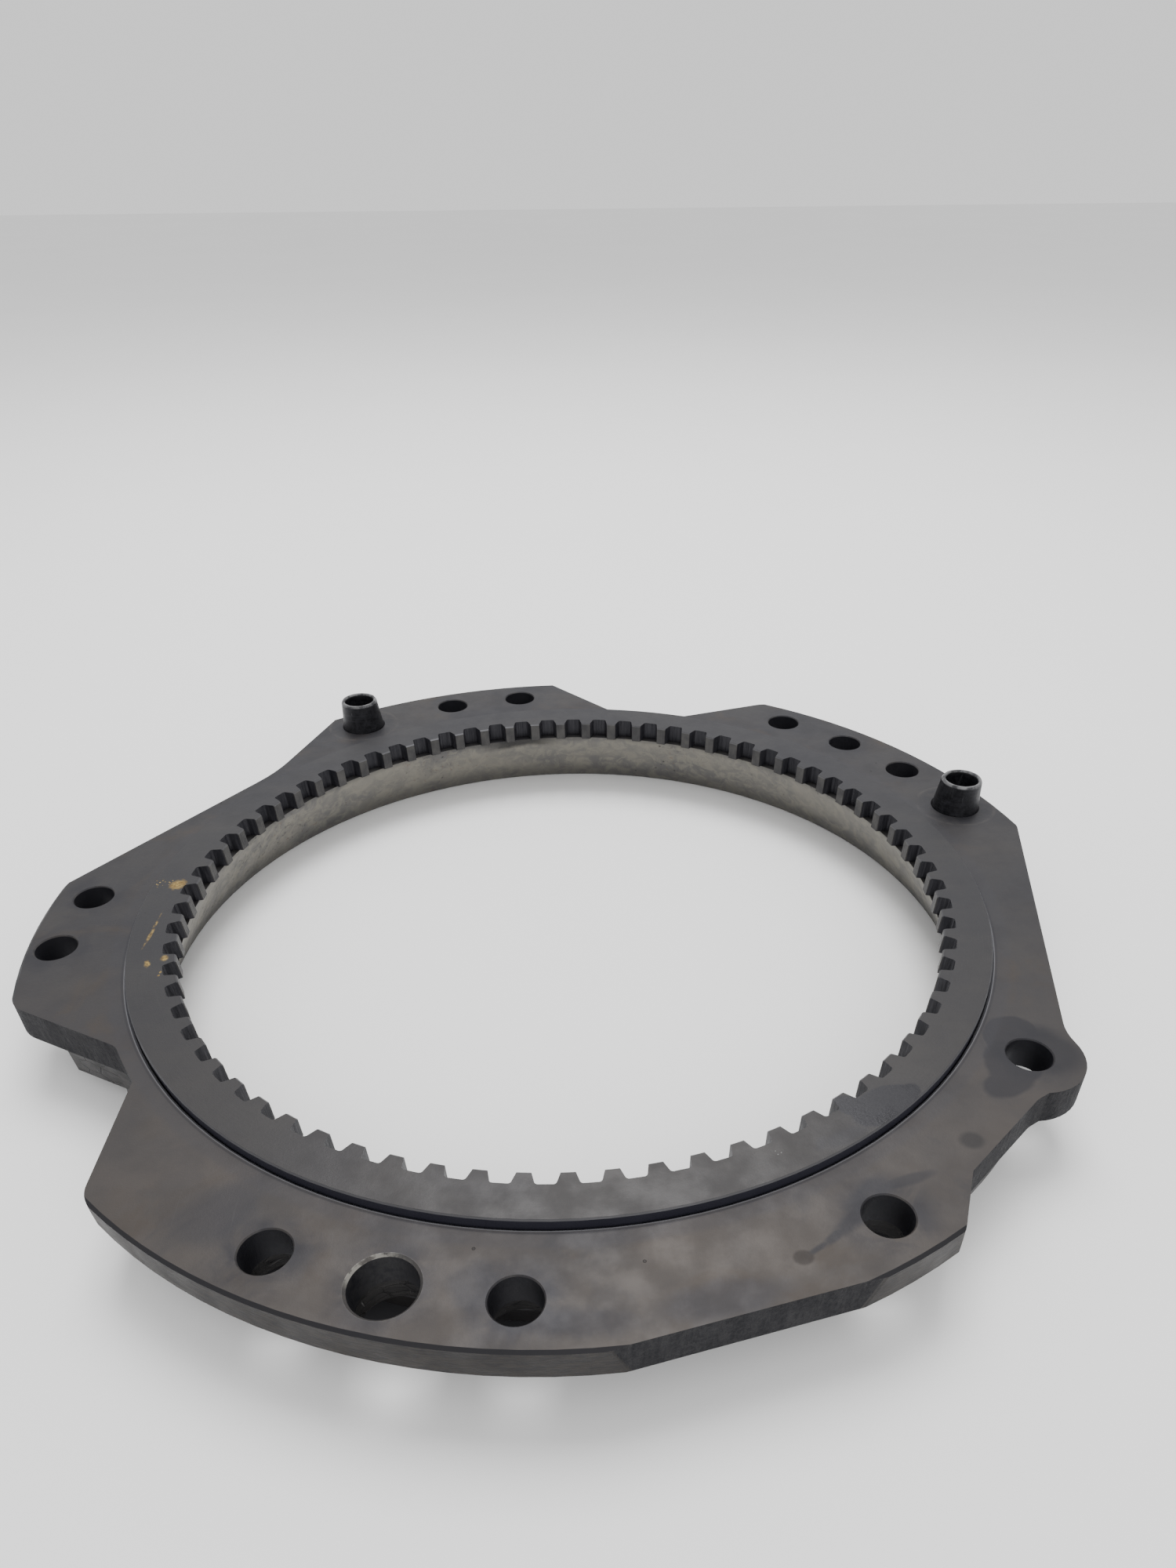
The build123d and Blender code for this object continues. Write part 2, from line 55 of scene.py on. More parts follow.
class Shade:
    """One procedural material, with its coordinates in the row frame."""

    def __init__(self, name):
        self.material = bpy.data.materials.new(name)
        self.material.use_nodes = True
        self.tree = self.material.node_tree
        self.shader = self.tree.nodes["Principled BSDF"]
        self.place = self.node("ShaderNodeTexCoord").outputs["Object"]
        split = self.node("ShaderNodeSeparateXYZ")
        self.feed(split.inputs[0], self.place)
        self.x, self.y, self.z = split.outputs
        x_squared = self.math("MULTIPLY", self.x, self.x)
        y_squared = self.math("MULTIPLY", self.y, self.y)
        self.radius = self.math("SQRT", self.math("ADD", x_squared, y_squared))
        self.angle = self.math("ARCTAN2", self.y, self.x)
        geometry = self.node("ShaderNodeNewGeometry")
        normal = self.node(
            "ShaderNodeVectorTransform", vector_type="NORMAL", convert_from="WORLD", convert_to="OBJECT")
        self.feed(normal.inputs[0], geometry.outputs["True Normal"])
        facing = self.node("ShaderNodeSeparateXYZ")
        self.feed(facing.inputs[0], normal.outputs[0])
        self.up = facing.outputs[2]
        self.heights = []

    def node(self, kind, **settings):
        made = self.tree.nodes.new(kind)
        for key, value in settings.items():
            setattr(made, key, value)
        return made

    def feed(self, socket, value):
        if isinstance(value, bpy.types.NodeSocket):
            self.tree.links.new(value, socket)
        else:
            socket.default_value = value

    def math(self, operation, a, b=0.0):
        made = self.node("ShaderNodeMath", operation=operation)
        self.feed(made.inputs[0], a)
        self.feed(made.inputs[1], b)
        return made.outputs[0]

    def vector(self, operation, a, b=(0, 0, 0)):
        made = self.node("ShaderNodeVectorMath", operation=operation)
        self.feed(made.inputs[0], a)
        self.feed(made.inputs[1], b)
        return made.outputs["Value" if operation in ("LENGTH", "DISTANCE", "DOT_PRODUCT") else "Vector"]

    def ramp(self, value, start, end, low=0.0, high=1.0):
        """Smooth step from low at start to high at end."""
        made = self.node("ShaderNodeMapRange", interpolation_type="SMOOTHSTEP")
        for socket, number in zip(made.inputs, (value, start, end, low, high)):
            self.feed(socket, number)
        return made.outputs[0]

    def band(self, value, low, high, soft):
        """1 between low and high, fading to 0 over soft on either side."""
        rising = self.ramp(value, low - soft, low + soft)
        falling = self.ramp(value, high + soft, high - soft)
        return self.math("MULTIPLY", rising, falling)

    def times(self, *values):
        result = values[0]
        for value in values[1:]:
            result = self.math("MULTIPLY", result, value)
        return result

    def either(self, *values):
        result = values[0]
        for value in values[1:]:
            result = self.math("MAXIMUM", result, value)
        return result

    def stretched(self, scale, turn=0.0, shift=(0, 0, 0)):
        made = self.node("ShaderNodeMapping")
        self.feed(made.inputs["Vector"], self.place)
        made.inputs["Location"].default_value = shift
        made.inputs["Rotation"].default_value = (0, 0, radians(turn))
        made.inputs["Scale"].default_value = scale
        return made.outputs[0]

    def unrolled(self, around, along, up):
        """Coordinates laid out round the axis, so that marks follow the turning."""
        made = self.node("ShaderNodeCombineXYZ")
        self.feed(made.inputs[0], self.math("MULTIPLY", self.angle, around))
        self.feed(made.inputs[1], self.math("MULTIPLY", self.radius, along))
        self.feed(made.inputs[2], self.math("MULTIPLY", self.z, up))
        return made.outputs[0]

    def noise(self, scale, detail=4.0, rough=0.55, where=None, distort=0.0):
        made = self.node("ShaderNodeTexNoise")
        self.feed(made.inputs["Vector"], where or self.place)
        self.feed(made.inputs["Scale"], scale)
        self.feed(made.inputs["Detail"], detail)
        self.feed(made.inputs["Roughness"], rough)
        self.feed(made.inputs["Distortion"], distort)
        return made.outputs[0]

    def cells(self, scale, where=None, feature="F1"):
        made = self.node("ShaderNodeTexVoronoi", feature=feature)
        self.feed(made.inputs["Vector"], where or self.place)
        self.feed(made.inputs["Scale"], scale)
        return made.outputs["Distance"]

    def mix(self, amount, a, b):
        made = self.node("ShaderNodeMix", data_type="RGBA")
        self.feed(made.inputs[0], amount)
        self.feed(made.inputs[6], a)
        self.feed(made.inputs[7], b)
        return made.outputs[2]

    def spot(self, centre, size, turn=0.0, ragged=0.0, soft=0.25, grain=60.0):
        """Mask of an ellipse on the XY plane, 1 inside, with a wandering edge."""
        made = self.node("ShaderNodeMapping", vector_type="TEXTURE")
        self.feed(made.inputs["Vector"], self.place)
        made.inputs["Location"].default_value = (centre[0], centre[1], 0)
        made.inputs["Rotation"].default_value = (0, 0, radians(turn))
        made.inputs["Scale"].default_value = (size[0], size[1], 1000)
        reach = self.vector("LENGTH", made.outputs[0])
        if ragged:
            wander = self.math("MULTIPLY", self.math("SUBTRACT", self.noise(grain, 3.0), 0.5), ragged * 2)
            reach = self.math("ADD", reach, wander)
        return self.ramp(reach, 1 + soft, 1 - soft)

    def halo(self, centres, inner, outer, soft):
        """Mask of rings round several upright holes."""
        rings = []
        for centre in centres:
            away = self.vector("DISTANCE", self.flat(), (centre[0], centre[1], 0))
            rings.append(self.band(away, inner, outer, soft))
        return self.either(*rings)

    def flat(self):
        """The place with its height dropped."""
        return self.vector("MULTIPLY", self.place, (1, 1, 0))

    def raise_by(self, height, distance):
        """Adds a bump layer of the given depth in metres."""
        self.heights.append((height, distance))

    def finish(self, colour, roughness, metallic, specular=0.5):
        self.feed(self.shader.inputs["Base Color"], colour)
        self.feed(self.shader.inputs["Roughness"], roughness)
        self.feed(self.shader.inputs["Metallic"], metallic)
        self.shader.inputs["Specular IOR Level"].default_value = specular
        normal = None
        for height, distance in self.heights:
            bump = self.node("ShaderNodeBump")
            bump.inputs["Distance"].default_value = distance
            self.feed(bump.inputs["Height"], height)
            if normal is not None:
                self.feed(bump.inputs["Normal"], normal)
            normal = bump.outputs[0]
        if normal is not None:
            self.feed(self.shader.inputs["Normal"], normal)
        return self.material


def capsule(shade, start, end, width, soft):
    """Mask of a straight streak on the XY plane between two points."""
    start, end = Vector(start), Vector(end)
    along = end - start
    length = along.length
    turn = along.angle_signed(Vector((1, 0))) if length else 0.0
    middle = (start + end) / 2
    reach = (length / 2 + width, width)
    return shade.spot(middle, reach, turn=degrees(turn), ragged=0.35, soft=soft, grain=180)


# ---------------------------------------------------------------- plate
def steel_mottle(shade, dark, mid, light):
    """Cloudy phosphated steel: broad soft clouds, finer clouds and a fine grain."""
    clouds = shade.noise(11, 4.0, 0.5, distort=0.5)
    smears = shade.noise(1.0, 4.0, 0.55, where=shade.stretched((20, 44, 20), turn=18))
    grain = shade.noise(1100, 3.0, 0.7)
    speck = shade.noise(320, 3.0, 0.6)
    colour = shade.mix(shade.ramp(clouds, 0.30, 0.70), dark, mid)
    colour = shade.mix(shade.times(shade.ramp(smears, 0.44, 0.78), 0.55), colour, light)
    colour = shade.mix(shade.ramp(grain, 0.35, 0.75, 0.0, 0.25), colour, light)
    return shade.mix(shade.ramp(speck, 0.54, 0.75, 0.0, 0.35), colour, dark)


def plate_material():
    s = Shade("plate_phosphated_steel")
    top = s.ramp(s.up, 0.6, 0.9)
    wall = s.ramp(s.math("ABSOLUTE", s.up), 0.5, 0.3)
    colour = steel_mottle(s, grey(76, 0, 8), grey(87, 2, 3), grey(98, 5, -3))

    # Warmer and a little lighter towards the front of the plate, cooler towards the back; the lightening is
    # painted light falling on the front.
    lit_front = s.ramp(s.y, 0.00, -0.22)
    warm = s.mix(s.ramp(s.noise(26), 0.3, 0.7), grey(102, 6, -3), grey(120, 9, -7))
    colour = s.mix(s.times(lit_front, 0.75), colour, warm)
    rust = s.times(s.ramp(s.noise(24, 4.0, 0.6, distort=0.7), 0.52, 0.72), 0.6)
    colour = s.mix(rust, colour, grey(96, 12, -10))
    smoke = s.times(s.ramp(s.noise(19, 5.0, 0.6, distort=1.4), 0.50, 0.62), s.ramp(s.y, -0.12, -0.19), 0.32)
    colour = s.mix(smoke, colour, grey(84, 1, 5))

    # Bluish oil stains round the holes, and a thin worn rim round the large one.
    stain = s.noise(48, 4.0, 0.6, distort=0.9)
    holes = s.halo(SMALL_HOLES + [BIG_HOLE], -0.01, 0.0165, 0.007)
    colour = s.mix(s.times(holes, s.ramp(stain, 0.34, 0.62), 0.75), colour, grey(70, 0, 9))
    small_rims = s.halo(SMALL_HOLES, 0.0092, 0.0098, 0.0002)
    colour = s.mix(s.times(small_rims, s.ramp(s.noise(190, 3.0), 0.42, 0.62), 0.3), colour, grey(132, 4, -4))
    big_rim = s.halo([BIG_HOLE], 0.0119, 0.0131, 0.0002)
    worn_side = (BIG_HOLE.x - 0.004, BIG_HOLE.y + 0.007)
    worn_arc = s.spot(worn_side, (0.0135, 0.0085), turn=-25, ragged=0.2, soft=0.3, grain=160)
    rim_level = s.math("ADD", s.times(worn_arc, s.ramp(s.noise(260, 4.0), 0.38, 0.56), 0.8), 0.10)
    colour = s.mix(s.times(big_rim, rim_level), colour, grey(225, 4, -10))

    # Dark stains with a pale tide line round the foot of each sleeve.
    ragged = s.ramp(s.noise(95, 3.0, distort=1.0), 0.36, 0.56)
    sleeves = s.halo(SLEEVES, 0.0110, 0.0185, 0.0016)
    colour = s.mix(s.times(sleeves, ragged, 0.7), colour, grey(74, 0, 7))
    tide = s.halo(SLEEVES, 0.0200, 0.0214, 0.0006)
    colour = s.mix(s.times(tide, ragged, 0.3), colour, grey(126, 5, -4))

    # Grease patch round the ear's hole and a thumb mark beside it.
    ear_patch = s.either(
        s.spot((0.1800, -0.1165), (0.0130, 0.0115), turn=56, ragged=0.30, soft=0.08, grain=45),
        s.spot((0.1755, -0.1300), (0.0115, 0.0160), turn=-30, ragged=0.30, soft=0.08, grain=45),
        s.spot((0.1700, -0.1420), (0.0120, 0.0070), turn=30, ragged=0.30, soft=0.14, grain=45),
        s.spot((0.1900, -0.1250), (0.0140, 0.0135), ragged=0.30, soft=0.30, grain=45))
    colour = s.mix(s.times(ear_patch, 0.70), colour, grey(62, 0, 9))
    thumb = s.spot((0.1452, -0.1708), (0.0046, 0.0040), ragged=0.22, soft=0.30, grain=140)
    colour = s.mix(s.times(thumb, 0.75), colour, grey(66, 3, 2))

    # A run of oil from the last hole of the front lobe to a round brown drop.
    run = s.either(
        capsule(s, (0.0985, -0.1985), (0.0880, -0.2075), 0.0030, 0.5),
        capsule(s, (0.0880, -0.2075), (0.0820, -0.2125), 0.0017, 0.5),
        capsule(s, (0.0825, -0.2120), (0.0750, -0.2165), 0.0011, 0.5))
    wet = s.either(
        s.spot((0.1010, -0.1930), (0.0100, 0.0045), turn=40, ragged=0.5, soft=0.4, grain=90),
        s.spot((0.1150, -0.1880), (0.0110, 0.0022), turn=15, ragged=0.5, soft=0.4, grain=90))
    colour = s.mix(s.times(wet, 0.60), colour, grey(70, 0, 8))
    colour = s.mix(s.times(run, 0.85), colour, grey(64, 1, 7))
    drop = s.spot((0.0728, -0.2177), (0.0035, 0.0030), ragged=0.12, soft=0.22, grain=150)
    colour = s.mix(s.times(drop, 0.85), colour, grey(72, 8, -4))
    pools = s.either(
        s.spot((0.045, -0.2315), (0.022, 0.0070), turn=8, ragged=0.55, soft=0.35, grain=70),
        s.spot((-0.034, -0.2215), (0.012, 0.008), turn=-30, ragged=0.6, soft=0.4, grain=80),
        s.spot((-0.006, -0.2360), (0.024, 0.0050), turn=-3, ragged=0.6, soft=0.4, grain=80),
        s.spot((-0.125, -0.186), (0.016, 0.010), turn=35, ragged=0.5, soft=0.4, grain=70))
    colour = s.mix(s.times(pools, 0.55), colour, grey(76, 0, 8))

    # Smooth turned ring round the bore, a little bluer, with a painted highlight as a pale line on its lip
    # and painted shade as a dark line beside it.
    turned = s.band(s.radius, 0.200, 0.2085, 0.0016)
    colour = s.mix(s.times(turned, top, 0.30), colour, grey(92, 0, 8))
    lip_highlight = s.times(s.band(s.radius, 0.2004, 0.2017, 0.0002), s.ramp(s.up, 0.3, 0.5))
    colour = s.mix(s.times(lip_highlight, 0.65), colour, grey(190, 0, 8))
    # Painted shade: a dark line just outside the lip.
    lip_shade = s.times(s.band(s.radius, 0.2021, 0.2027, 0.0003), top)
    colour = s.mix(s.times(lip_shade, 0.55), colour, grey(66, 0, 10))

    # Scattered pits and faint scratches.
    pit = s.cells(70, where=s.stretched((1, 1, 0.2), shift=(3, 1, 0)))
    pits = s.times(s.ramp(pit, 0.050, 0.028), s.ramp(s.noise(21, 2.0), 0.56, 0.62), top)
    colour = s.mix(s.times(pits, 0.7), colour, grey(60, 2, 3))
    scratch = s.noise(1.0, 2.0, 0.4, where=s.stretched((1400, 22, 20), turn=33))
    scratched = s.times(s.ramp(scratch, 0.70, 0.75), s.ramp(s.noise(17, 2.0), 0.52, 0.64), top)
    colour = s.mix(s.times(scratched, 0.12), colour, grey(140, 3, 0))

    # Outer walls: flame cut and rough on the flats, turned on the round arcs under a chamfer darkened with
    # painted shade.
    turned_wall = s.times(wall, s.ramp(s.radius, PLATE_RADIUS - 0.0004, PLATE_RADIUS - 0.0002))
    near_hole = s.either(
        s.halo(SMALL_HOLES, -0.01, 0.0100, 0.0002),
        s.halo([BIG_HOLE], -0.01, 0.0135, 0.0002),
        s.halo(SLEEVES, -0.01, 0.0135, 0.0002))
    hole_wall = s.times(wall, near_hole)
    outer = s.math("SUBTRACT", 1.0, near_hole)
    inside_turned = s.ramp(s.radius, PLATE_RADIUS - 0.0002, PLATE_RADIUS - 0.0004)
    cut_wall = s.times(wall, outer, inside_turned, s.ramp(s.radius, 0.2060, 0.2070))
    cut_streaks = s.noise(1.0, 4.0, 0.7, where=s.stretched((420, 420, 70)))
    crust = s.noise(520, 5.0, 0.75)
    rubbed = s.noise(1.0, 4.0, 0.6, where=s.unrolled(55, 10, 900))
    cut_colour = s.mix(s.ramp(cut_streaks, 0.35, 0.7), grey(62, 0, 7), grey(90, 1, 4))
    cut_colour = s.mix(s.ramp(crust, 0.40, 0.70, 0.0, 0.6), cut_colour, grey(108, 1, 2))
    turned_colour = s.mix(s.ramp(rubbed, 0.3, 0.7), grey(72, 2, 2), grey(90, 6, -5))
    colour = s.mix(cut_wall, colour, cut_colour)
    colour = s.mix(turned_wall, colour, turned_colour)
    colour = s.mix(s.times(hole_wall, 0.9), colour, grey(66, 0, 9))
    # Painted shade on the chamfer along the top of the turned outside.
    at_edge = s.ramp(s.radius, PLATE_EDGE_RADIUS - 0.0003, PLATE_EDGE_RADIUS)
    chamfer_shade = s.times(s.band(s.up, 0.80, 0.92, 0.03), at_edge)
    colour = s.mix(s.times(chamfer_shade, 0.9), colour, grey(54, 0, 7))
    # Painted shade: the bore wall, down in the gap beside the ring, painted a bluish shade colour.
    bore_wall_shade = s.times(wall, s.ramp(s.radius, 0.2060, 0.2050))
    colour = s.mix(s.times(bore_wall_shade, 0.8), colour, grey(96, 0, 18))

    roughness = s.ramp(s.noise(70, 4.0), 0.3, 0.7, 0.46, 0.60)
    roughness = s.math("ADD", roughness, s.times(cut_wall, 0.22))
    roughness = s.math("SUBTRACT", roughness, s.times(s.either(ear_patch, run, thumb), 0.06))
    s.raise_by(s.noise(700, 4.0, 0.7), 0.00005)
    s.raise_by(s.times(cut_wall, s.math("ADD", cut_streaks, crust)), 0.0013)
    s.raise_by(s.times(turned_wall, rubbed), 0.0002)
    s.raise_by(s.math("MULTIPLY", pits, -1.0), 0.0002)
    return s.finish(colour, roughness, 0.35, specular=0.3)


# ---------------------------------------------------------------- toothed ring
def ring_material():
    s = Shade("ring_phosphated_steel")
    top = s.times(s.ramp(s.up, 0.6, 0.9), s.ramp(s.z, RING_TOP - 0.0012, RING_TOP - 0.0006))
    colour = steel_mottle(s, grey(74, 0, 8), grey(84, 1, 4), grey(96, 3, -1))
    # Painted light: warmer and lighter towards the front of the ring, as on the plate.
    lit_front = s.ramp(s.y, 0.02, -0.20)
    colour = s.mix(s.times(lit_front, 0.5), colour, s.mix(s.noise(34), grey(90, 3, -1), grey(100, 5, -5)))
    turning = s.noise(1.0, 3.0, 0.6, where=s.unrolled(9, 2600, 10))
    colour = s.mix(s.times(top, s.ramp(turning, 0.55, 0.8), 0.14), colour, grey(118, 2, 0))

    # Dark oil patch on the face at the front right, a fainter smear beside it, and a chipped spot.
    oil = s.either(
        s.spot((0.1165, -0.1545), (0.0150, 0.0085), turn=28, ragged=0.22, soft=0.08, grain=60),
        s.spot((0.1035, -0.1540), (0.0075, 0.0050), turn=-20, ragged=0.25, soft=0.10, grain=70),
        s.spot((0.1270, -0.1490), (0.0060, 0.0040), turn=50, ragged=0.25, soft=0.14, grain=80))
    colour = s.mix(s.times(oil, top, 0.75), colour, grey(66, 0, 8))
    smear = s.either(
        s.spot((0.0960, -0.1700), (0.0105, 0.0030), turn=25, ragged=0.6, soft=0.4, grain=90),
        s.spot((0.0880, -0.1725), (0.0040, 0.0022), turn=60, ragged=0.6, soft=0.4, grain=90))
    colour = s.mix(s.times(smear, top, 0.45), colour, grey(84, 0, 6))
    pit = s.cells(90, where=s.stretched((1, 1, 0.2), shift=(1, 4, 0)))
    pits = s.times(s.ramp(pit, 0.055, 0.030), s.ramp(s.noise(26, 2.0), 0.56, 0.63), top)
    colour = s.mix(s.times(pits, 0.7), colour, grey(60, 2, 3))
    chip_area = s.spot((0.0732, -0.1745), (0.0028, 0.0040), ragged=0.5, soft=0.4, grain=200)
    chips = s.times(s.ramp(s.cells(620), 0.20, 0.12), chip_area)
    colour = s.mix(s.times(chips, top, 0.8), colour, grey(190, 0, 0))

    # Yellow ochre paint: a splash with droplets, a thin streak and two dabs.
    splash = s.spot((-0.1868, 0.0158), (0.0033, 0.0038), turn=-20, ragged=0.75, soft=0.40, grain=700)
    drop_area = s.either(
        s.spot((-0.1960, 0.0178), (0.0034, 0.0030), ragged=0.2, soft=0.5, grain=200),
        s.spot((-0.1910, 0.0180), (0.0026, 0.0022), ragged=0.2, soft=0.5, grain=200))
    drops = s.times(s.ramp(s.cells(780), 0.36, 0.22), drop_area)
    broken = s.ramp(s.noise(420, 3.0), 0.40, 0.56)
    long_streak = s.spot((-0.1891, -0.0210), (0.0005, 0.0120), turn=-3, ragged=0.9, soft=0.5, grain=300)
    short_streak = s.spot((-0.1889, -0.0250), (0.0006, 0.0045), turn=-3, ragged=0.6, soft=0.5, grain=400)
    streak = s.either(s.times(long_streak, broken), short_streak)
    dots = s.either(
        s.spot((-0.1780, -0.0432), (0.0015, 0.0018), ragged=0.45, soft=0.45, grain=600),
        s.spot((-0.1846, -0.0468), (0.0011, 0.0021), turn=15, ragged=0.6, soft=0.5, grain=600),
        s.spot((-0.1772, -0.0532), (0.0005, 0.0007), ragged=0.3, soft=0.3, grain=500),
        s.spot((-0.1774, -0.0555), (0.0005, 0.0006), ragged=0.3, soft=0.3, grain=500))
    paint = s.times(s.either(splash, drops, s.times(streak, 0.7), s.times(dots, 0.85)), top)
    ochre = s.mix(s.ramp(s.noise(700, 4.0), 0.3, 0.7), (0.13, 0.075, 0.016, 1), (0.40, 0.28, 0.085, 1))
    colour = s.mix(s.times(paint, 0.85), colour, ochre)

    # Rubbed outer edge of the ring, and painted shade on the bluish upper part of its outside wall, down in
    # the gap.
    rim_edge = s.times(s.ramp(s.radius, 0.1993, 0.1995), s.band(s.up, 0.5, 0.85, 0.05))
    colour = s.mix(s.times(rim_edge, 0.5), colour, grey(150, 0, 6))
    upright_face = s.ramp(s.math("ABSOLUTE", s.up), 0.5, 0.3)
    outside_wall_shade = s.times(s.ramp(s.radius, 0.1992, 0.1996), upright_face, s.ramp(s.z, 0.0290, 0.0300))
    colour = s.mix(s.times(outside_wall_shade, 0.9), colour, grey(96, 0, 18))

    # Tooth spaces: bluish, with painted shade making them darker deeper in, and upright run marks.
    inside_roots = s.ramp(s.radius, ROOT_RADIUS + 0.0003, ROOT_RADIUS + 0.0001)
    above_band = s.ramp(s.z, BAND_TOP - 0.0001, BAND_TOP + 0.0002)
    tooth_zone = s.times(inside_roots, above_band, upright_face)
    upright = s.noise(1.0, 3.0, 0.6, where=s.unrolled(300, 400, 60))
    space_shade = s.mix(s.ramp(upright, 0.3, 0.7), grey(60, 0, 9), grey(92, 1, 7))
    colour = s.mix(tooth_zone, colour, space_shade)
    # Painted light: the tip faces lighter than the shaded spaces between them.
    tips = s.times(s.ramp(s.radius, 0.17905, 0.17885), s.ramp(s.z, BAND_TOP - 0.0001, BAND_TOP + 0.0001))
    lit_tip_colour = s.mix(s.ramp(s.noise(150, 4.0), 0.3, 0.7), grey(92, 1, 2), grey(120, 2, -2))
    colour = s.mix(s.times(tips, s.ramp(s.z, RING_TOP, RING_TOP - 0.0006)), colour, lit_tip_colour)

    # A painted highlight: a pale line along the top edge of the tooth tips, strongest on one side of the
    # ring.
    edge_height = s.band(s.z, RING_TOP - 0.00062, RING_TOP - 0.00002, 0.00004)
    edge_highlight = s.times(edge_height, s.ramp(s.radius, 0.17925, 0.17915))
    back_left = s.ramp(s.vector("DISTANCE", s.flat(), polar(0.179, 108)), 0.075, 0.020, 0.30, 1.0)
    colour = s.mix(s.times(edge_highlight, back_left, 0.75), colour, grey(200, 0, 6))
    ledge = s.times(s.ramp(s.up, 0.6, 0.9), s.band(s.z, BAND_TOP - 0.0003, BAND_TOP + 0.0003, 0.0001))
    colour = s.mix(s.times(ledge, 0.8), colour, grey(66, 1, 4))

    # Band under the teeth: warm grey turned steel, stained, with painted shade darkening it towards its foot.
    band = s.times(s.ramp(s.z, BAND_TOP + 0.00005, BAND_TOP - 0.00015), s.ramp(s.radius, 0.1990, 0.1986))
    broad = s.noise(1.0, 5.0, 0.6, where=s.unrolled(4.5, 20, 38), distort=0.5)
    fine = s.noise(1.0, 5.0, 0.65, where=s.unrolled(26, 60, 150), distort=0.8)
    warm = s.mix(s.ramp(broad, 0.32, 0.68), grey(176, 2, -2), grey(212, 5, -12))
    warm = s.mix(s.ramp(fine, 0.42, 0.62, 0.0, 0.80), warm, grey(224, 5, -16))
    rust_specks = s.ramp(s.noise(1.0, 4.0, 0.7, where=s.unrolled(60, 90, 260), distort=1.0), 0.60, 0.70)
    rust = s.times(rust_specks, s.ramp(s.noise(16, 2.0), 0.50, 0.60))
    warm = s.mix(s.times(rust, 0.7), warm, (0.15, 0.085, 0.045, 1))
    blotches = s.ramp(s.noise(1.0, 5.0, 0.7, where=s.unrolled(34, 60, 190), distort=1.6), 0.56, 0.66)
    blotch = s.times(blotches, s.ramp(s.noise(11, 2.0), 0.42, 0.58))
    warm = s.mix(s.times(blotch, 0.75), warm, grey(118, 2, 0))
    # Painted shade: darker towards the foot.
    warm = s.mix(s.ramp(s.z, 0.0145, 0.002, 0.0, 0.55), warm, grey(114, 1, 0))
    tide = s.noise(1.0, 3.0, 0.6, where=s.unrolled(13, 10, 10))
    under_teeth = s.math("ADD", s.z, s.times(s.math("SUBTRACT", tide, 0.5), 0.008))
    warm = s.mix(s.ramp(under_teeth, 0.0285, 0.0335, 0.0, 0.55), warm, grey(114, 1, 1))
    grease_side = s.ramp(s.vector("DISTANCE", s.flat(), polar(0.182, 97)), 0.030, 0.006)
    grease = s.times(grease_side, s.ramp(under_teeth, 0.0250, 0.0290))
    warm = s.mix(s.times(grease, 0.85), warm, grey(66, 1, 4))
    band_pit = s.cells(1.0, where=s.unrolled(34, 40, 190))
    band_pits = s.times(s.ramp(band_pit, 0.14, 0.07), s.ramp(s.noise(23, 2.0), 0.50, 0.58))
    warm = s.mix(s.times(band_pits, 0.6), warm, grey(92, 2, 0))
    colour = s.mix(band, colour, warm)

    roughness = s.ramp(s.noise(70, 4.0), 0.3, 0.7, 0.38, 0.54)
    roughness = s.math("SUBTRACT", roughness, s.times(s.times(oil, top), 0.14))
    roughness = s.math("SUBTRACT", roughness, s.times(edge_highlight, 0.15))
    roughness = s.math("ADD", roughness, s.times(band, 0.02))
    s.raise_by(s.noise(700, 4.0, 0.7), 0.00005)
    s.raise_by(s.times(top, turning), 0.00002)
    s.raise_by(s.times(band, s.math("SUBTRACT", fine, band_pits)), 0.0004)
    s.raise_by(s.times(tooth_zone, upright), 0.0003)
    return s.finish(colour, roughness, 0.35, specular=0.3)


# ---------------------------------------------------------------- lower ring
def lower_ring_material():
    s = Shade("lower_ring_turned_steel")
    colour = steel_mottle(s, grey(84, 1, 3), grey(104, 2, 0), grey(124, 3, -3))
    across = s.noise(1.0, 3.0, 0.6, where=s.stretched((60, 60, 1100)))
    colour = s.mix(s.ramp(across, 0.45, 0.75, 0.0, 0.5), colour, grey(136, 3, -3))
    gouge = s.noise(1.0, 2.0, 0.5, where=s.stretched((700, 90, 160), turn=-30))
    gouges = s.times(s.ramp(gouge, 0.66, 0.72), s.ramp(s.noise(60, 2.0), 0.45, 0.6))
    colour = s.mix(s.times(gouges, 0.8), colour, grey(190, 2, -2))
    cracks = s.ramp(s.cells(95, feature="DISTANCE_TO_EDGE", where=s.stretched((1, 1, 2.2))), 0.05, 0.01)
    cracks = s.times(cracks, s.ramp(s.noise(30, 2.0), 0.52, 0.6))
    colour = s.mix(s.times(cracks, 0.6), colour, grey(52, 0, 2))
    s.raise_by(across, 0.0002)
    s.raise_by(s.math("SUBTRACT", gouges, cracks), 0.0003)
    s.raise_by(s.noise(600, 4.0, 0.7), 0.00006)
    return s.finish(colour, s.ramp(s.noise(90, 4.0), 0.3, 0.7, 0.40, 0.60), 0.6)


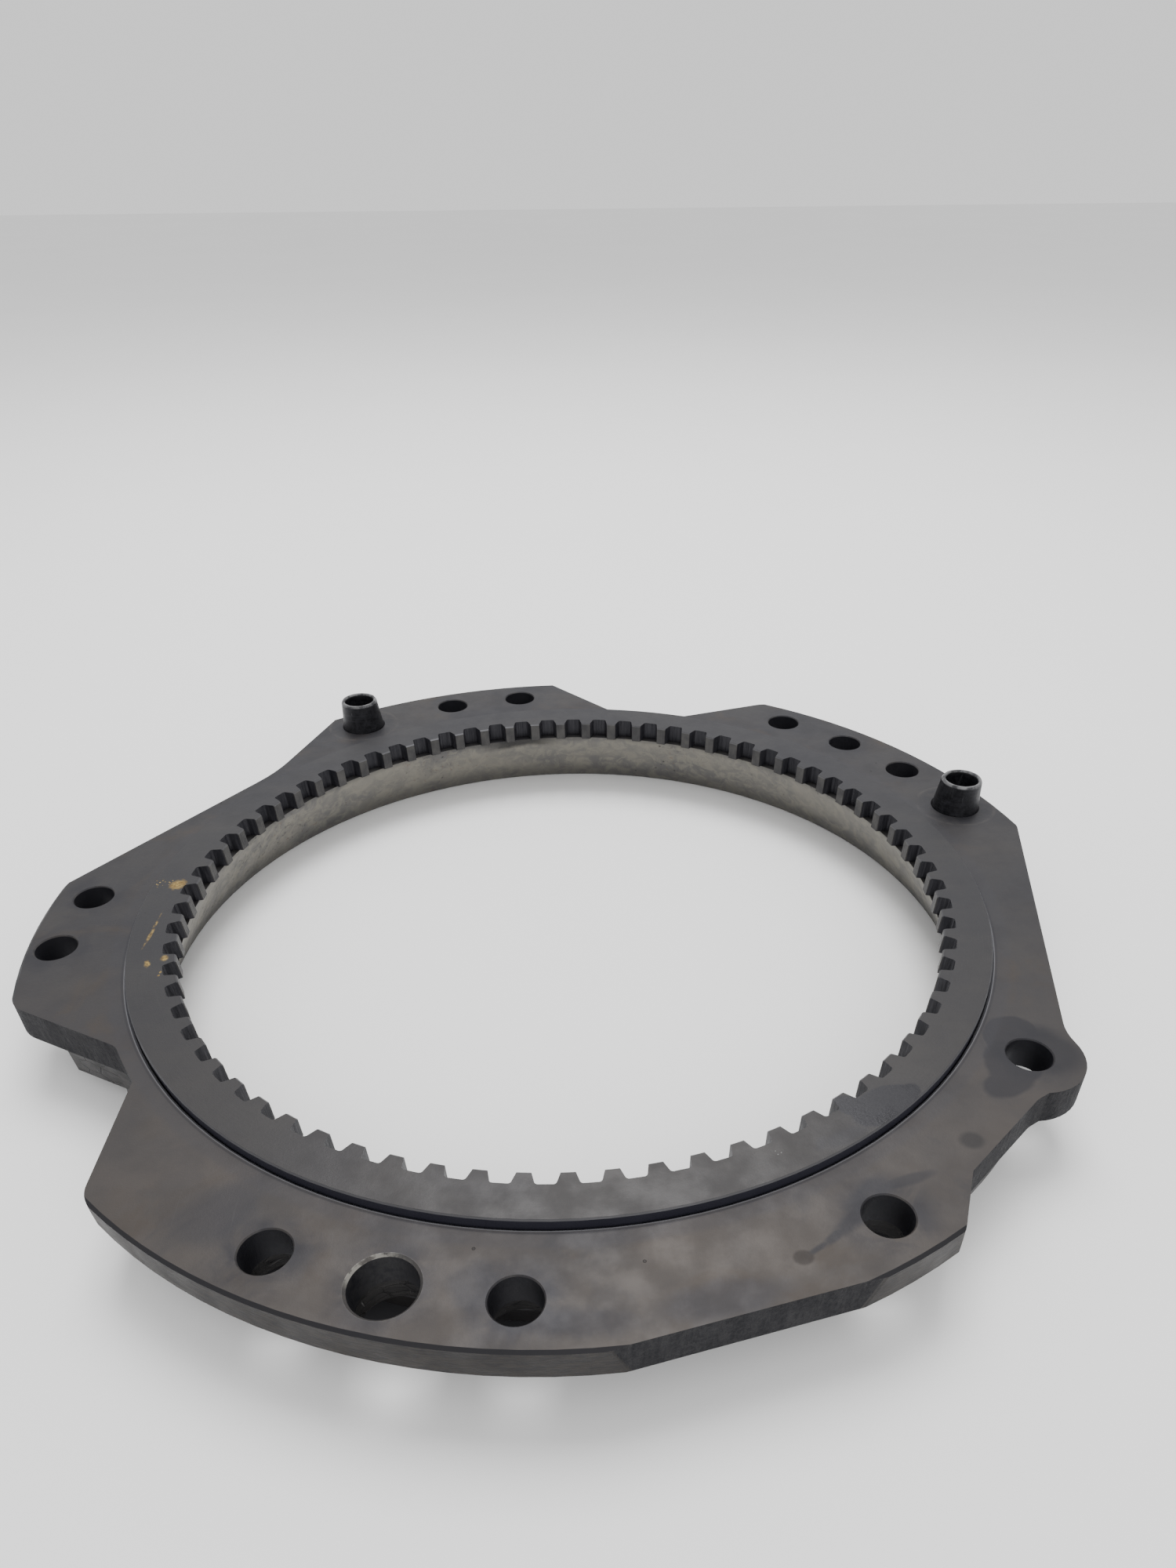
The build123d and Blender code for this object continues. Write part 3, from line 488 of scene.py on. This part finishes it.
# ---------------------------------------------------------------- sleeves
def sleeve_material():
    s = Shade("sleeve_black_steel")
    bits = s.noise(420, 4.0, 0.65)
    colour = s.mix(s.ramp(bits, 0.35, 0.7), grey(48, 0, 6), grey(72, 0, 8))
    rings = s.noise(1.0, 2.0, 0.5, where=s.stretched((40, 40, 1500)))
    colour = s.mix(s.ramp(rings, 0.5, 0.75, 0.0, 0.5), colour, grey(90, 0, 8))
    worn = s.ramp(s.noise(230, 4.0, 0.65), 0.38, 0.58)
    rim = s.ramp(s.z, SLEEVE_TOP - 0.0016, SLEEVE_TOP - 0.0004)
    bright = s.times(rim, s.math("ADD", s.times(worn, 0.85), 0.15))
    colour = s.mix(bright, colour, grey(186, 0, 2))
    scuffs = s.ramp(s.noise(1.0, 3.0, 0.6, where=s.stretched((300, 300, 60))), 0.60, 0.68)
    scuff = s.times(scuffs, s.ramp(s.z, PLATE_TOP, SLEEVE_TOP - 0.001))
    colour = s.mix(s.times(scuff, 0.55), colour, grey(128, 0, 6))
    s.raise_by(bits, 0.00012)
    s.raise_by(rings, 0.00006)
    roughness = s.math("SUBTRACT", s.ramp(bits, 0.3, 0.7, 0.36, 0.52), s.times(bright, 0.1))
    return s.finish(colour, roughness, 0.5)


# ---------------------------------------------------------------- hidden hardware
def brushed(name, dark, light, rough_low, rough_high, scale, metallic=0.9):
    """Plain metal hardware with a fine directional grain and light wear."""
    s = Shade(name)
    grain = s.noise(1.0, 4.0, 0.6, where=s.stretched((scale, scale, scale * 0.15)))
    wear = s.noise(160, 4.0, 0.6)
    colour = s.mix(s.ramp(grain, 0.3, 0.7), dark, light)
    colour = s.mix(s.ramp(wear, 0.55, 0.75, 0.0, 0.35), colour, dark)
    s.raise_by(grain, 0.00003)
    return s.finish(colour, s.ramp(wear, 0.3, 0.7, rough_low, rough_high), metallic)


def rubber(name):
    s = Shade(name)
    bloom = s.noise(60, 4.0, 0.6)
    colour = s.mix(s.ramp(bloom, 0.35, 0.7), grey(60, 0, 8), grey(84, 0, 10))
    s.raise_by(s.noise(1400, 2.0), 0.00003)
    return s.finish(colour, s.ramp(bloom, 0.3, 0.7, 0.55, 0.75), 0.0)


def assign(material, *names):
    for name in names:
        slots = nodes[name].data.materials
        slots.clear()
        slots.append(material)


CAGES = [name for name in nodes if name.startswith("cage_segment")]
NIPPLES = [name for name in nodes if name.startswith("grease_nipple")]
assign(plate_material(), "mount_plate")
assign(ring_material(), "inner_ring_gear")
assign(lower_ring_material(), "lower_race_ring")
assign(sleeve_material(), "dowel_sleeve_left", "dowel_sleeve_right")
assign(rubber("seal_rubber"), "upper_seal", "lower_seal")
assign(brushed("ball_polished_steel", grey(190), grey(215), 0.08, 0.18, 300, 1.0), "load_balls")
assign(brushed("cage_rolled_strip", grey(120), grey(165), 0.30, 0.45, 500), *CAGES)
assign(brushed("shim_rolled_steel", grey(140), grey(175), 0.28, 0.42, 500), "shim_pack", "locating_pins")
screw_oxide = brushed("screw_black_oxide", grey(34, 0, 3), grey(56, 0, 4), 0.32, 0.5, 400, 0.7)
assign(screw_oxide, "clamp_screws", "lock_washers")
assign(brushed("nipple_yellow_zinc", grey(170, 6, -60), grey(200, 6, -50), 0.25, 0.4, 400), *NIPPLES)


# ---------------------------------------------------------------- stage, light and camera
FLOOR_HALF = 6.0
FLOOR_GAP = 0.0005                 # keeps the floor clear of the ring's lower face
PATCH_INNER, PATCH_OUTER = 0.2120, 0.2270
CAMERA_PLACE = (0, -0.3895, 0.2947)
CAMERA_LENS = 28.53
CAMERA_SHIFT = (-0.0224, 0.2828)


def floor():
    half = FLOOR_HALF
    mesh = bpy.data.meshes.new("studio_floor")
    corners = [(-half, -half, 0), (half, -half, 0), (half, half, 0), (-half, half, 0)]
    mesh.from_pydata(corners, [], [(0, 1, 2, 3)])
    made = bpy.data.objects.new("studio_floor", mesh)
    made.location.z = -FLOOR_GAP
    bpy.context.scene.collection.objects.link(made)
    s = Shade("studio_floor")
    colour = s.mix(s.noise(3, 3.0), (0.86, 0.86, 0.86, 1), (0.90, 0.90, 0.90, 1))

    # A dark patch painted on the floor under the front lobe, a painted shadow only to darken what shows
    # through its holes.
    # It stands for no real thing: without it the floor is plain and the holes look brighter.
    painted_shade_under_lobe = s.times(
        s.band(s.radius, PATCH_INNER, PATCH_OUTER, 0.0015),
        s.ramp(s.y, -0.165, -0.175),
        s.ramp(s.x, 0.128, 0.120))
    colour = s.mix(painted_shade_under_lobe, colour, (0.05, 0.05, 0.055, 1))
    mesh.materials.append(s.finish(colour, 0.9, 0.0))


def area_light(name, place, target, size, power):
    data = bpy.data.lights.new(name, "AREA")
    data.shape = "RECTANGLE"
    data.size = size[0]
    data.size_y = size[1]
    data.energy = power
    made = bpy.data.objects.new(name, data)
    made.location = place
    made.rotation_euler = (Vector(target) - Vector(place)).to_track_quat("-Z", "Y").to_euler()
    bpy.context.scene.collection.objects.link(made)


def studio():
    world = bpy.data.worlds.new("studio")
    bpy.context.scene.world = world
    world.use_nodes = True
    back = world.node_tree.nodes["Background"]
    back.inputs[0].default_value = (1.0, 1.0, 1.0, 1)
    back.inputs[1].default_value = 1.0
    area_light("key", place=(0.05, 0.75, 1.7), target=(0, -0.05, 0), size=(1.1, 1.1), power=37)
    area_light("front_fill", place=(0.4, -1.4, 1.1), target=(0, -0.1, 0), size=(1.6, 1.0), power=8.5)


def camera():
    pan, tilt, roll = 0.0614, 0.8184, -0.0072
    forward = Vector((sin(pan) * cos(tilt), cos(pan) * cos(tilt), -sin(tilt)))
    level = Vector((cos(pan), -sin(pan), 0))
    over = level.cross(forward)
    right = cos(roll) * level + sin(roll) * over
    above = -sin(roll) * level + cos(roll) * over
    data = bpy.data.cameras.new("camera")
    data.sensor_fit = "HORIZONTAL"
    data.sensor_width = 36
    data.lens = CAMERA_LENS
    data.shift_x, data.shift_y = CAMERA_SHIFT
    data.clip_start = 0.01
    made = bpy.data.objects.new("camera", data)
    turn = Matrix((right, above, -forward)).transposed().to_4x4()
    made.matrix_world = Matrix.Translation(CAMERA_PLACE) @ turn
    bpy.context.scene.collection.objects.link(made)
    bpy.context.scene.camera = made


floor()
studio()
camera()
